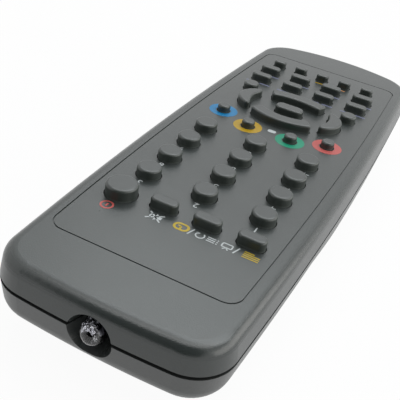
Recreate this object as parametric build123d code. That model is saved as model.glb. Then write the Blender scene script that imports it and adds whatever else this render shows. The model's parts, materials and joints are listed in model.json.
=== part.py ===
from build123d import *

import math
import os

# Hand-held infrared remote control for a television set.
# +Y runs towards the emitter end, +X to the user's right, +Z out of the keypad.
# The origin is the bottom centre of the whole part. All sizes are in millimetres.

# Housing outline, seen from above
body_length = 160.8
half_width_max = 27.35
widest_from_base = 58.4
side_radius = 1480.0
front_end_radius = 235.0
base_end_radius = 56.6
front_corner_radius = 9.0
base_corner_radius = 12.1

# Housing walls and edges
wall = 2.0
plate_thickness = 2.0
top_edge_radius = 2.7
bottom_edge_radius = 4.6
inner_edge_radius = 2.6
upper_draft = 8.5
lower_draft = 8.0

# Heights, from the resting plane up through the stack
cover_recess = 0.3
cover_thickness = 1.5
cell_play = 0.2
cell_diameter = 10.5
bay_roof = 1.0
board_gap = 0.2
board_thickness = 1.2
mat_thickness = 2.9

# Split line, underside step and groove round the keypad
upper_wall_height = 5.55
shadow_gap = 0.8
tongue_height = 2.0
tongue_inset = 1.1
tongue_play = 0.1
front_half_depth = 14.2
rest_face_end = 86.0
ramp_length = 24.0
ramp_radius = 30.0
groove_inset = 4.2
groove_width = 0.3
groove_depth = 0.3
groove_from_front = 14.9
groove_from_base = 17.0
groove_corner_radius = 3.5

# Emitter diode and its recess in the front wall
emitter_proud = 0.8
emitter_below_split = 0.65
emitter_radius = 2.5
emitter_length = 8.7
emitter_flange_radius = 2.9
emitter_flange_thickness = 1.0
emitter_play = 0.1
recess_half_width = 5.0
recess_rise = 4.8
recess_drop = 5.4
recess_depth = 4.8
recess_floor_radius = 3.2
cup_wall = 2.0
cup_radius = 6.6
cup_inset = 0.7
cup_bite = 0.3
lead_size = 0.5
lead_pitch = 2.54
lead_run = 7.0
lead_top_play = 0.1

# Keys: clearances and the parts under the plate
key_play = 0.22
key_travel = 1.0
key_top_play = 0.05
key_flange_width = 0.5
key_flange_thickness = 0.8
key_edge_radius = 0.6
plunger_inset = 0.5
plunger_length = 0.95
well_play = 0.2
well_floor_play = 0.1

# Number keys
number_radius = 2.87
number_height = 2.36
number_column_from_side = 13.15
number_column_pitch = half_width_max - number_column_from_side
number_row_pitch = 10.0
number_row_count = 4
numbers_from_front = 43.9

# Top row: power key and three pill keys
power_radius = 3.57
power_height = 2.85
power_from_side = 12.55
power_x = half_width_max - power_from_side
power_above_numbers = 10.75
pill_length = 6.3
pill_depth = 3.1
pill_corner_radius = 1.4
pill_height = 2.4
pill_above_numbers = 9.8
mute_x = power_x * 0.325
recall_x = -power_x * 0.36
text_from_side = 11.95
text_x = -half_width_max + text_from_side

# Colour keys
colour_radius = 1.75
colour_height = 1.9
colour_from_side = 11.95
colour_outer_x = half_width_max - colour_from_side
colour_inner_x = colour_outer_x * 0.4
colour_inner_below_numbers = 9.95
colour_outer_below_inner = 4.2

# Direction keys round the middle key
nav_below_colours = 16.1
ok_length = 8.2
ok_depth = 4.0
ok_corner_radius = 1.8
ok_height = 2.2
up_outer_radius = 16.0
up_reach = 10.55
up_half_angle = 35.0
down_outer_radius = 24.0
down_reach = 10.65
down_half_angle = 21.0
nav_key_width = 4.0
nav_height = 2.2
nav_corner_radius = 0.8
side_reach = 15.6
side_inner_x = side_reach - nav_key_width
side_tip_back = 5.0
side_tip_x = side_reach - side_tip_back
side_tip_half = 6.3
side_tip_width = 1.9

# Lower block of keys
corner_key_radius = 2.25
corner_key_from_side = 11.85
corner_key_x = half_width_max - corner_key_from_side
corner_below_nav = 8.65
lower_from_side = 11.85
lower_outer_x = half_width_max - lower_from_side
lower_inner_x = lower_outer_x / 3
lower_row_one_below_corner = 9.0
lower_row_pitch = 8.2
small_length = 3.9
small_depth = 3.0
small_corner_radius = 1.2
small_pitch = lower_outer_x * 0.485
small_row_below_lower = 7.7
lower_height = 2.2

# Circuit board, mat and small electronics
mat_inset = 5.6
mat_margin = 5.0
mat_corner_radius = 3.0
board_inset = 2.6
board_from_front = 10.0
board_from_base = 18.8
board_corner_radius = 2.0
post_radius = 1.6
post_from_side = 6.85
post_x = half_width_max - post_from_side
post_from_front = (30.8, 62.8)
chip_size = (18.0, 7.5, 2.4)
chip_from_front = 40.8
leg_count = 10
leg_pitch = 1.7
leg_width = 0.5
leg_reach = 1.2
leg_thickness = 0.3
resonator_size = (7.5, 3.0, 5.2)
resonator_from_front = 52.8
resonator_x = 9.0
resonator_corner_radius = 1.0
transistor_size = (4.6, 4.6, 3.6)
transistor_from_front = 22.8
transistor_x = -8.0
transistor_corner_radius = 2.0
capacitor_radius = 2.5
capacitor_length = 11.0
capacitor_from_front = 26.8
capacitor_x = 9.0
resistor_size = (3.2, 1.6, 0.6)
resistor_count = 5
resistor_pitch = 3.2
resistor_from_front = 54.8
resistor_x = -9.0

# Cells, bay and contacts
cell_length = 43.7
cell_nub_radius = 1.9
cell_nub_height = 0.8
cell_edge_radius = 0.4
cell_pitch = 12.4
bay_side_play = 0.95
bay_wall = 1.1
bay_back_from_base = 11.3
contact_thickness = 0.4
contact_width = 9.0
contact_height = 9.0
contact_tab_width = 2.0
contact_tab_play = 0.15
contact_play = 0.05
spring_wire = 0.6
spring_length = 7.6
spring_radius = 3.6
spring_pitch = 2.0

# Battery cover
cover_side_margin = 3.1
cover_front_margin = 4.5
cover_play = 0.15
cover_top_play = 0.1
rail_width = 1.2
rail_thickness = 0.8
frame_ledge = 1.4
frame_margin = 2.2
rib_count = 6
rib_pitch = 2.2
rib_width = 0.9
rib_depth = 0.5
rib_length = 15.0
ribs_from_base = 12.0

# Case screws
screw_from_side = 11.85
screw_front_x = half_width_max - screw_from_side
screw_from_front = 17.0
screw_from_base = 6.9
screw_shank_radius = 1.1
screw_head_radius = 2.4
screw_head_height = 1.7
screw_head_edge_radius = 1.0
screw_play = 0.05
screw_grip = 6.0
screw_reach = 2.6
pilot_hole_floor = 0.4
boss_radius = 3.3
boss_hole_play = 0.5
counterbore_radius = 2.8
drive_width = 0.6
drive_length = 2.6
drive_depth = 0.8

# Planes and places worked out from the sizes above
overall_length = body_length + emitter_proud
base_y = -overall_length / 2
front_y = base_y + body_length
widest_y = base_y + widest_from_base
cover_top_z = cover_recess + cover_thickness
cell_z = cover_top_z + cell_play + cell_diameter / 2
roof_z = cell_z + cell_diameter / 2 + cell_play
board_z = roof_z + bay_roof + board_gap
mat_z = board_z + board_thickness
plate_z = mat_z + mat_thickness
top_z = plate_z + plate_thickness
upper_edge_z = top_z - upper_wall_height
lower_edge_z = upper_edge_z - shadow_gap
split_z = (upper_edge_z + lower_edge_z) / 2
emitter_z = split_z - emitter_below_split
tongue_z = lower_edge_z + tongue_height
front_floor_z = top_z - front_half_depth
ramp_start_y = base_y + rest_face_end
ramp_end_y = ramp_start_y + ramp_length
number_row_y = front_y - numbers_from_front
last_number_row_y = number_row_y - (number_row_count - 1) * number_row_pitch
colour_inner_y = last_number_row_y - colour_inner_below_numbers
colour_outer_y = colour_inner_y - colour_outer_below_inner
nav_y = colour_inner_y - nav_below_colours
corner_key_y = nav_y - corner_below_nav
lower_row_y = corner_key_y - lower_row_one_below_corner
small_row_y = lower_row_y - lower_row_pitch - small_row_below_lower
bay_back_y = base_y + bay_back_from_base
bay_length = cell_length + cell_nub_height + spring_length + 2 * contact_thickness + 2 * contact_play
bay_front_y = bay_back_y + bay_length
bay_half_width = cell_pitch / 2 + cell_diameter / 2 + bay_side_play
cover_half_width = bay_half_width + cover_side_margin
cover_front_y = bay_front_y + cover_front_margin
emitter_tip_y = front_y + emitter_proud
screw_places = [
    (screw_front_x, front_y - screw_from_front),
    (-screw_front_x, front_y - screw_from_front),
    (0, base_y + screw_from_base),
]
far = 200.0
overrun = 1.0


def corner(inset, end_centre_y, end_radius, end_sign):
    """Where a bowed side and a bowed end cross, on the right-hand side."""
    side_x = half_width_max - side_radius
    side_r, end_r = side_radius - inset, end_radius - inset
    rise = end_centre_y - widest_y
    apart = math.hypot(side_x, rise)
    along = (side_r**2 - end_r**2 + apart**2) / (2 * apart)
    across = math.sqrt(side_r**2 - along**2)
    to_end = (-side_x / apart, rise / apart)
    x = side_x + along * to_end[0] - end_sign * across * to_end[1]
    y = widest_y + along * to_end[1] + end_sign * across * to_end[0]
    return x, y


def outline(inset=0.0):
    """The housing's plan: four bowed sides and rounded corners, moved inwards by an inset."""
    w_front, y_front = corner(inset, front_y - front_end_radius, front_end_radius, 1)
    w_base, y_base = corner(inset, base_y + base_end_radius, base_end_radius, -1)
    side_x = half_width_max - inset
    sides = [
        ThreePointArc((w_base, y_base), (side_x, widest_y), (w_front, y_front)),
        ThreePointArc((w_front, y_front), (0, front_y - inset), (-w_front, y_front)),
        ThreePointArc((-w_front, y_front), (-side_x, widest_y), (-w_base, y_base)),
        ThreePointArc((-w_base, y_base), (0, base_y + inset), (w_base, y_base)),
    ]
    plan = make_face(sides)
    plan = fillet(plan.vertices().group_by(Axis.Y)[-1], front_corner_radius - inset)
    return fillet(plan.vertices().group_by(Axis.Y)[0], base_corner_radius - inset)


def box(x_span, y_span, z_span):
    """A box between two places along each axis."""
    size = [high - low for low, high in (x_span, y_span, z_span)]
    middle = [(high + low) / 2 for low, high in (x_span, y_span, z_span)]
    return Pos(*middle) * Box(*size)


def rod(x, y, z_span, radius):
    """An upright cylinder between two heights."""
    low, high = z_span
    return Pos(x, y, (low + high) / 2) * Cylinder(radius, high - low)


def raised(sketch, z_low, z_high):
    """A sketch drawn out between two heights."""
    return extrude(Pos(0, 0, z_low) * sketch, z_high - z_low)


def panel(inset, y_low, y_high, radius):
    """The plan moved inwards, cut off square at both ends, with rounded corners."""
    strip = Pos(0, (y_low + y_high) / 2) * Rectangle(2 * far, y_high - y_low)
    sketch = outline(inset) & strip
    corners = [v for v in sketch.vertices() if min(abs(v.Y - y_low), abs(v.Y - y_high)) < 0.01]
    return fillet(corners, radius)


def underside_cut(rise):
    """The space under the underside: a flat to rest on, a ramp, and the thin front half."""
    low, high = rise, front_floor_z + rise
    points = [
        (base_y - overrun, -far),
        (base_y - overrun, low),
        (ramp_start_y, low),
        (ramp_end_y, high),
        (front_y + overrun, high),
        (front_y + overrun, -far),
    ]
    profile = make_face(Polyline(*points, close=True))
    corners = [v for v in profile.vertices() if base_y < v.X < front_y]
    profile = fillet(corners, ramp_radius)
    upright = Plane(origin=(0, 0, 0), x_dir=(0, 1, 0), z_dir=(1, 0, 0))
    return extrude(upright * profile, far / 2, both=True)


def drafted(inset, edge_z, draft, z_low, z_high):
    """The plan drawn out between two heights, narrowing away from one edge of the split."""
    ends = []
    for z in (z_low, z_high):
        narrowed = (edge_z - z) * math.tan(math.radians(draft))
        ends.append(Pos(0, 0, z) * outline(inset + narrowed))
    return loft(ends, ruled=True)


def upper_block(inset, z_low, z_high):
    """The upper half of the housing as a full block with drafted sides, between two heights."""
    return drafted(inset, upper_edge_z, -upper_draft, z_low, z_high)


def lower_block(inset, rise, radius, z_high):
    """The lower half of the housing as a full block: drafted sides, ramp and rounded edges."""
    block = drafted(inset, lower_edge_z, lower_draft, -overrun, z_high) - underside_cut(rise)
    low_edges = [
        e
        for e in block.edges()
        if e.bounding_box().max.Z < front_floor_z + rise + 0.01
        and not (e.geom_type == GeomType.LINE and abs(e.tangent_at(0).X) > 0.99)
    ]
    return fillet(low_edges, radius)


def ring_sector(outer_radius, width, centre_y, half_angle, sign):
    """A curved bar key between two arcs, with rounded ends, as a plan that can be grown."""

    def plan(grow):
        outer, inner = outer_radius + grow, outer_radius - width - grow
        middle = outer_radius - width / 2
        turn = math.radians(half_angle) + grow / middle

        def at(radius, angle):
            return (radius * math.sin(angle), centre_y + sign * radius * math.cos(angle))

        sides = [
            ThreePointArc(at(outer, -turn), at(outer, 0), at(outer, turn)),
            Line(at(outer, turn), at(inner, turn)),
            ThreePointArc(at(inner, turn), at(inner, 0), at(inner, -turn)),
            Line(at(inner, -turn), at(outer, -turn)),
        ]
        bar = make_face(sides)
        return fillet(bar.vertices(), nav_corner_radius + grow)

    return plan


def crescent(side):
    """A side key of the direction ring: full on the outside, hollow towards the middle key."""

    def plan(grow):
        tip, reach, hollow = side_tip_x - grow, side_reach + grow, side_inner_x - grow
        half = side_tip_half + grow
        low = half - side_tip_width - 2 * grow

        def at(x, y):
            return (side * x, nav_y + y)

        sides = [
            ThreePointArc(at(tip, -half), at(reach, 0), at(tip, half)),
            Line(at(tip, half), at(tip, low)),
            ThreePointArc(at(tip, low), at(hollow, 0), at(tip, -low)),
            Line(at(tip, -low), at(tip, -half)),
        ]
        bar = make_face(sides)
        return fillet(bar.vertices(), nav_corner_radius + grow)

    return plan


def pill(x, y, length, depth, radius):
    """A rounded bar key, as a plan that can be grown."""

    def plan(grow):
        return Pos(x, y) * RectangleRounded(length + 2 * grow, depth + 2 * grow, radius + grow)

    return plan


def disc(x, y, radius):
    """A round key, as a plan that can be grown."""
    return lambda grow: Pos(x, y) * Circle(radius + grow)


def key_plans():
    """Every key's plan and its height above the top face, by name."""
    keys = {
        "power_key": (disc(power_x, number_row_y + power_above_numbers, power_radius), power_height)
    }
    for name, x in (("mute_key", mute_x), ("recall_key", recall_x), ("text_key", text_x)):
        y = number_row_y + pill_above_numbers
        keys[name] = (pill(x, y, pill_length, pill_depth, pill_corner_radius), pill_height)
    names = [["1", "2", "3"], ["4", "5", "6"], ["7", "8", "9"], ["dash", "0", "blank"]]
    for row, labels in enumerate(names):
        for column, label in enumerate(labels):
            x = (column - 1) * number_column_pitch
            y = number_row_y - row * number_row_pitch
            keys["number_key_" + label] = (disc(x, y, number_radius), number_height)
    colours = [
        ("red_key", -colour_outer_x, colour_outer_y),
        ("green_key", -colour_inner_x, colour_inner_y),
        ("yellow_key", colour_inner_x, colour_inner_y),
        ("blue_key", colour_outer_x, colour_outer_y),
    ]
    for name, x, y in colours:
        keys[name] = (disc(x, y, colour_radius), colour_height)
    up_centre_y = nav_y + up_reach - up_outer_radius
    down_centre_y = nav_y - down_reach + down_outer_radius
    up = ring_sector(up_outer_radius, nav_key_width, up_centre_y, up_half_angle, 1)
    down = ring_sector(down_outer_radius, nav_key_width, down_centre_y, down_half_angle, -1)
    keys["ok_key"] = (pill(0, nav_y, ok_length, ok_depth, ok_corner_radius), ok_height)
    keys["up_key"] = (up, nav_height)
    keys["down_key"] = (down, nav_height)
    keys["left_key"] = (crescent(-1), nav_height)
    keys["right_key"] = (crescent(1), nav_height)
    for name, side in (("corner_key_left", -1), ("corner_key_right", 1)):
        keys[name] = (disc(side * corner_key_x, corner_key_y, corner_key_radius), lower_height)
    lower_columns = (-lower_outer_x, -lower_inner_x, lower_inner_x, lower_outer_x)
    for row in range(2):
        for column, x in enumerate(lower_columns):
            y = lower_row_y - row * lower_row_pitch
            plan = pill(x, y, pill_length, pill_depth, pill_corner_radius)
            keys[f"lower_key_{row + 1}_{column + 1}"] = (plan, lower_height)
    for column in range(5):
        x = (column - 2) * small_pitch
        plan = pill(x, small_row_y, small_length, small_depth, small_corner_radius)
        keys[f"small_key_{column + 1}"] = (plan, lower_height)
    return keys


def key(plan, height):
    """One key: a cap through the plate, a flange under it and a plunger in the mat's well."""
    flange_top = plate_z - key_top_play
    flange_bottom = flange_top - key_flange_thickness
    cap = raised(plan(0), flange_top, top_z + height)
    cap = fillet(cap.edges().group_by(Axis.Z)[-1], key_edge_radius)
    flange = raised(plan(key_flange_width), flange_bottom, flange_top)
    plunger = raised(plan(-plunger_inset), flange_bottom - plunger_length, flange_bottom)
    return cap + flange + plunger


def emitter_axis_rod(radius, y_low, y_high):
    """A cylinder on the emitter's axis between two places along the length."""
    middle = (y_low + y_high) / 2
    return Pos(0, middle, emitter_z) * Rot(90, 0, 0) * Cylinder(radius, y_high - y_low)


def emitter_recess():
    """The hole in the front wall: an oval mouth that narrows to the round floor, and its bore."""
    mouth_y = front_y + overrun
    floor_y = front_y - recess_depth
    mouth_z = emitter_z + (recess_rise - recess_drop) / 2
    facing = Plane(origin=(0, mouth_y, mouth_z), x_dir=(1, 0, 0), z_dir=(0, 1, 0))
    backing = Plane(origin=(0, floor_y, emitter_z), x_dir=(1, 0, 0), z_dir=(0, 1, 0))
    mouth = facing * Ellipse(recess_half_width, (recess_rise + recess_drop) / 2)
    floor = backing * Circle(recess_floor_radius)
    bore = emitter_axis_rod(emitter_radius + emitter_play, floor_y - cup_wall - overrun, mouth_y)
    return loft([mouth, floor]) + bore


def emitter_cup():
    """The collar behind the front wall that holds the emitter."""
    return emitter_axis_rod(cup_radius, front_y - recess_depth - cup_wall, front_y - cup_inset)


def top_shell(plans):
    """The upper moulding: plate, walls, key holes, groove, half of the cup, and screw bosses."""
    block = upper_block(0, upper_edge_z, top_z)
    block = fillet(block.edges().group_by(Axis.Z)[-1], top_edge_radius)
    shell = block - upper_block(wall, upper_edge_z - overrun, plate_z)
    shell -= raised(outline(tongue_inset - tongue_play), upper_edge_z - overrun, tongue_z)
    above = box((-far, far), (-far, far), (split_z, far))
    envelope = upper_block(cup_inset, split_z, plate_z + cup_bite)
    shell += emitter_cup() & above & envelope
    key_rooms = [raised(plan(key_flange_width + well_play), mat_z, plate_z) for plan, _ in plans.values()]
    for x, y in screw_places:
        shell += rod(x, y, (split_z, plate_z + overrun), boss_radius) - key_rooms
        shell -= rod(x, y, (split_z - overrun, plate_z - pilot_hole_floor), screw_shank_radius + screw_play)
    shell -= emitter_recess()
    shell -= [raised(plan(key_play), plate_z - overrun, top_z + overrun) for plan, _ in plans.values()]
    return shell - keypad_groove()


def keypad_groove():
    """The fine closed groove round the keypad, as the ring that is cut away."""
    rings = []
    for inner in (0, groove_width):
        y_low = base_y + groove_from_base + inner
        y_high = front_y - groove_from_front - inner
        rings.append(panel(groove_inset + inner, y_low, y_high, groove_corner_radius - inner))
    return raised(rings[0] - rings[1], top_z - groove_depth, top_z + overrun)


def cover_slot(play):
    """The space that the battery cover slides in, with its two side rails."""
    half = cover_half_width + play
    high = cover_top_z + (cover_top_play if play else 0)
    low = cover_top_z - rail_thickness - (cover_top_play if play else 0)
    front = cover_front_y + play
    slab = box((-half, half), (-far, front), (-overrun, high))
    rails = box((-half - rail_width, half + rail_width), (-far, front), (low, high))
    return slab + rails


def bottom_shell():
    """The lower moulding: hull, tongue, battery bay, cover rails, posts and screw bosses."""
    hull = lower_block(0, 0, bottom_edge_radius, lower_edge_z)
    hollow = lower_block(wall, wall, inner_edge_radius, lower_edge_z + overrun)
    rim = raised(outline(tongue_inset), lower_edge_z - overrun, tongue_z)
    rim -= raised(outline(wall), lower_edge_z - 2 * overrun, tongue_z + overrun)
    notch = cup_radius + tongue_play
    rim -= box((-notch, notch), (0, far), (lower_edge_z, far))
    frame_half = cover_half_width + rail_width + frame_margin
    frame_front = cover_front_y + frame_margin
    ledge_z = cover_top_z + cover_top_play + frame_ledge
    frame = box((-frame_half, frame_half), (-far, frame_front), (-overrun, ledge_z))
    bay_outside = box(
        (-bay_half_width - bay_wall, bay_half_width + bay_wall),
        (bay_back_y - bay_wall, bay_front_y + bay_wall),
        (0, roof_z + bay_roof),
    )
    bay_inside = box(
        (-bay_half_width, bay_half_width), (bay_back_y, bay_front_y), (-overrun, roof_z)
    )
    below = box((-far, far), (-far, far), (-far, split_z))
    shell = hull - hollow
    shell += rim
    shell += frame & hull
    shell += bay_outside - box((-far, far), (-far, far), (-far, cover_top_z))
    shell += emitter_cup() & below & hull
    shell -= emitter_recess()
    inside = hull + raised(outline(wall), lower_edge_z - overrun, board_z)
    for x, y in screw_places:
        head_z = split_z - screw_grip
        shell += rod(x, y, (wall, split_z), boss_radius) & inside
        shell -= rod(x, y, (-overrun, head_z), counterbore_radius)
        shell -= rod(x, y, (head_z - overrun, split_z + overrun), screw_shank_radius + screw_play)
    for side in (-1, 1):
        for distance in post_from_front:
            shell += rod(side * post_x, front_y - distance, (wall, board_z), post_radius) & inside
    shell -= bay_inside
    shell -= [contact_tab(side, contact_tab_play, roof_z - overrun, far) for side in (-1, 1)]
    shell -= cover_slot(cover_play)
    return shell


def battery_cover():
    """The sliding cover of the battery bay, with side rails and grip ribs sunk in it."""
    hull = lower_block(0, 0, bottom_edge_radius, lower_edge_z)
    raised_face = box((-far, far), (-far, far), (cover_recess, far))
    cover = cover_slot(0) & hull & raised_face
    for index in range(rib_count):
        y = base_y + ribs_from_base + index * rib_pitch
        cover -= box(
            (-rib_length / 2, rib_length / 2),
            (y - rib_width / 2, y + rib_width / 2),
            (-overrun, cover_recess + rib_depth),
        )
    return cover


def keypad_mat(plans):
    """The rubber mat under the plate, with a stepped well for each key."""
    y_high = number_row_y + power_above_numbers + power_radius + mat_margin
    y_low = small_row_y - small_depth / 2 - mat_margin
    mat = raised(panel(mat_inset, y_low, y_high, mat_corner_radius), mat_z, plate_z)
    pocket_z = plate_z - key_top_play - key_flange_thickness - key_travel - well_floor_play
    pocket_play, hole_play = key_flange_width + well_play, well_play - plunger_inset
    plans = [plan for plan, _ in plans.values()]
    mat -= [raised(plan(pocket_play), pocket_z, plate_z + overrun) for plan in plans]
    mat -= [raised(plan(hole_play), mat_z - overrun, plate_z + overrun) for plan in plans]
    for x, y in screw_places:
        mat -= rod(x, y, (mat_z - overrun, plate_z + overrun), boss_radius + boss_hole_play)
    return mat


def circuit_board():
    """The board that the mat lies on, with openings for the bosses, leads and contact tabs."""
    y_span = (base_y + board_from_base, front_y - board_from_front)
    board = raised(panel(board_inset, *y_span, board_corner_radius), board_z, mat_z)
    for x, y in screw_places:
        board -= rod(x, y, (0, far), boss_radius + boss_hole_play)
    lead_y = emitter_tip_y - emitter_length - lead_run
    for side in (-1, 1):
        board -= rod(side * lead_pitch / 2, lead_y, (0, far), lead_size)
        board -= contact_tab(side, contact_tab_play, 0, far)
    return board


def emitter_led():
    """The clear diode: a round dome on a cylinder with a flange at its back."""
    back_y = emitter_tip_y - emitter_length
    flange_y = back_y + emitter_flange_thickness
    dome_y = emitter_tip_y - emitter_radius
    dome_half = emitter_radius * math.sqrt(0.5)
    sides = [
        Polyline((0, back_y), (emitter_flange_radius, back_y), (emitter_flange_radius, flange_y),
                 (emitter_radius, flange_y), (emitter_radius, dome_y)),
        ThreePointArc((emitter_radius, dome_y), (dome_half, dome_y + dome_half), (0, emitter_tip_y)),
        Line((0, emitter_tip_y), (0, back_y)),
    ]
    return Pos(0, 0, emitter_z) * revolve(make_face(sides), Axis.Y)


def emitter_leads():
    """The diode's two wires, bent up into the board."""
    back_y = emitter_tip_y - emitter_length
    turn_y = back_y - lead_run
    half = lead_size / 2
    leads = []
    for side in (-1, 1):
        x = side * lead_pitch / 2
        run = box((x - half, x + half), (turn_y - half, back_y), (emitter_z - half, emitter_z + half))
        rise = box((x - half, x + half), (turn_y - half, turn_y + half), (emitter_z, mat_z - lead_top_play))
        leads.append(run + rise)
    return Compound(leads)


def under_board(size, x, y):
    """A block-shaped component that hangs from the underside of the board."""
    length, depth, height = size
    return box((x - length / 2, x + length / 2), (y - depth / 2, y + depth / 2),
               (board_z - height, board_z))


def controller_chip():
    """The controller: a flat package with rows of gull-wing legs."""
    length, depth, height = chip_size
    y = front_y - chip_from_front
    chip = box((-length / 2, length / 2), (y - depth / 2, y + depth / 2),
               (board_z - height, board_z - leg_thickness))
    for index in range(leg_count):
        x = (index - (leg_count - 1) / 2) * leg_pitch
        reach = depth / 2 + leg_reach
        chip += box((x - leg_width / 2, x + leg_width / 2), (y - reach, y + reach),
                    (board_z - leg_thickness, board_z))
    return chip


def resonator():
    """The ceramic resonator that sets the carrier frequency."""
    block = under_board(resonator_size, resonator_x, front_y - resonator_from_front)
    return fillet(block.edges().filter_by(Axis.Z), resonator_corner_radius)


def drive_transistor():
    """The transistor that drives the emitter: a half-round body lying on the board."""
    block = under_board(transistor_size, transistor_x, front_y - transistor_from_front)
    low = block.edges().filter_by(Axis.Y).group_by(Axis.Z)[0]
    return fillet(low, transistor_corner_radius)


def capacitor():
    """The supply capacitor lying along the board."""
    y = front_y - capacitor_from_front
    can = Pos(capacitor_x, y, board_z - capacitor_radius) * Rot(90, 0, 0)
    return can * Cylinder(capacitor_radius, capacitor_length)


def resistors():
    """A row of small flat resistors."""
    chips = []
    for index in range(resistor_count):
        x = resistor_x + (index - (resistor_count - 1) / 2) * resistor_pitch
        length, depth, height = resistor_size
        turned = (depth, length, height)
        chips.append(under_board(turned, x, front_y - resistor_from_front))
    return Compound(chips)


def cell_span(side):
    """Where one cell's case starts and ends; the cells lie in opposite directions."""
    plate = contact_thickness + contact_play
    if side < 0:
        start = bay_back_y + plate + spring_length
        return start, start + cell_length
    end = bay_front_y - plate - spring_length
    return end - cell_length, end


def battery(side):
    """One cell with its raised positive end."""
    start, end = cell_span(side)
    case = Cylinder(cell_diameter / 2, cell_length)
    case = fillet(case.edges(), cell_edge_radius)
    nub_z = cell_length / 2 + cell_nub_height / 2
    cell = case + Pos(0, 0, nub_z) * Cylinder(cell_nub_radius, cell_nub_height)
    turn = Rot(-90, 0, 0) if side < 0 else Rot(90, 0, 0)
    return Pos(side * cell_pitch / 2, (start + end) / 2, cell_z) * turn * cell


def contact_plate(x_span, y_wall, inwards):
    """A flat contact against an end wall of the bay."""
    low, high = sorted((y_wall, y_wall + inwards * contact_thickness))
    return box(x_span, (low, high), (cell_z - contact_height / 2, cell_z + contact_height / 2))


def contact_tab(side, play, z_low, z_high):
    """A front contact's tab between two heights, or its slot when given some play."""
    x, half = side * cell_pitch / 2, contact_tab_width / 2 + play
    y_span = (bay_front_y - contact_thickness - play, bay_front_y + play)
    return box((x - half, x + half), y_span, (z_low, z_high))


def front_contact(side):
    """A contact on the bay's front wall, with a tab that rises through the roof to the board."""
    x = side * cell_pitch / 2
    half = contact_width / 2
    plate = contact_plate((x - half, x + half), bay_front_y, -1)
    return plate + contact_tab(side, 0, cell_z, mat_z - lead_top_play)


def bridge_contact():
    """The plate on the bay's back wall that joins the two cells."""
    half = (cell_pitch + contact_width) / 2
    return contact_plate((-half, half), bay_back_y, 1)


def coil_spring(side):
    """A coil spring between a contact and a cell's flat end."""
    start, end = cell_span(side)
    height = spring_length - spring_wire - contact_play
    path = Helix(spring_pitch, height, spring_radius)
    section = Plane(origin=path @ 0, z_dir=path % 0) * Rectangle(spring_wire, spring_wire)
    coil = sweep(section, path=path, is_frenet=True)
    turn = Rot(-90, 0, 0) if side < 0 else Rot(90, 0, 0)
    seat = start - spring_length if side < 0 else end + spring_length
    rise = spring_wire / 2 + contact_play / 2
    return Pos(side * cell_pitch / 2, seat, cell_z) * turn * Pos(0, 0, rise) * coil


def case_screw(x, y):
    """One screw: a pan head with a cross recess, and its shank up into the upper boss."""
    head_z = split_z - screw_grip
    head = rod(x, y, (head_z - screw_head_height, head_z), screw_head_radius)
    head = fillet(head.edges().group_by(Axis.Z)[0], screw_head_edge_radius)
    low = head_z - screw_head_height
    half_l, half_w = drive_length / 2, drive_width / 2
    head -= box((x - half_l, x + half_l), (y - half_w, y + half_w), (low - overrun, low + drive_depth))
    head -= box((x - half_w, x + half_w), (y - half_l, y + half_l), (low - overrun, low + drive_depth))
    return head + rod(x, y, (head_z, split_z + screw_reach), screw_shank_radius)


def build():
    """Every node of the part, by name."""
    plans = key_plans()
    nodes = {
        "top_shell": top_shell(plans),
        "bottom_shell": bottom_shell(),
        "battery_cover": battery_cover(),
        "keypad_mat": keypad_mat(plans),
        "circuit_board": circuit_board(),
        "emitter_led": emitter_led(),
        "emitter_leads": emitter_leads(),
        "controller_chip": controller_chip(),
        "resonator": resonator(),
        "drive_transistor": drive_transistor(),
        "capacitor": capacitor(),
        "resistors": resistors(),
        "battery_left": battery(-1),
        "battery_right": battery(1),
        "positive_contact": front_contact(-1),
        "negative_contact": front_contact(1),
        "bridge_contact": bridge_contact(),
        "contact_springs": Compound([coil_spring(-1), coil_spring(1)]),
        "case_screws": Compound([case_screw(x, y) for x, y in screw_places]),
    }
    for name, (plan, height) in plans.items():
        nodes[name] = key(plan, height)
    return nodes


def main():
    """Write one STEP file for each node."""
    os.makedirs("parts", exist_ok=True)
    for name, shape in build().items():
        shape.label = name
        export_step(shape, f"parts/{name}.step")
        print(name, len(shape.solids()), round(shape.volume, 1))


main()
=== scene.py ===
"""A hand-held television remote control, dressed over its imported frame."""

import json
import logging
import math
from dataclasses import dataclass, field
from enum import Enum
from typing import Any, Mapping, Sequence, Union

import bmesh
import bpy
from mathutils import Matrix, Vector, noise

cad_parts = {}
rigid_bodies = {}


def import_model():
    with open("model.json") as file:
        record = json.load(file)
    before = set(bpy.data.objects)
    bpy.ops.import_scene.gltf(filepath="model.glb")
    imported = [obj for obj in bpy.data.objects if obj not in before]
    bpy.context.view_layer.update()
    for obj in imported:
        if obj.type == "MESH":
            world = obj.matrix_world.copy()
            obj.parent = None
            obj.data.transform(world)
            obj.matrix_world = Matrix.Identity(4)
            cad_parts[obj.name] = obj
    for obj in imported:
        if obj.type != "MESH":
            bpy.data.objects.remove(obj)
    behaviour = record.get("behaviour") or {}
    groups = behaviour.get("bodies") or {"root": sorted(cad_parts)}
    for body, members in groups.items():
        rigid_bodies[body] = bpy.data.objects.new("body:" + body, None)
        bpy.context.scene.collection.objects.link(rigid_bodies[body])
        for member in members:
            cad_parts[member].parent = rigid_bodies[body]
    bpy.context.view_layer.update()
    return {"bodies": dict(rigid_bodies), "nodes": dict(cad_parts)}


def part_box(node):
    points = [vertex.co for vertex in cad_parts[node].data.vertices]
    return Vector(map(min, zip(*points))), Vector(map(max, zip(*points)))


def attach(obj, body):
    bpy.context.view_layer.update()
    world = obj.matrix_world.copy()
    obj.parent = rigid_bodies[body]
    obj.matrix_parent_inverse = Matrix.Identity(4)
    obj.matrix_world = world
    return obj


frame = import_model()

log = logging.getLogger("remote")

MM = 0.001

Colour = tuple[float, float, float]
Point = tuple[float, float]
Triple = tuple[float, float, float]


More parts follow.
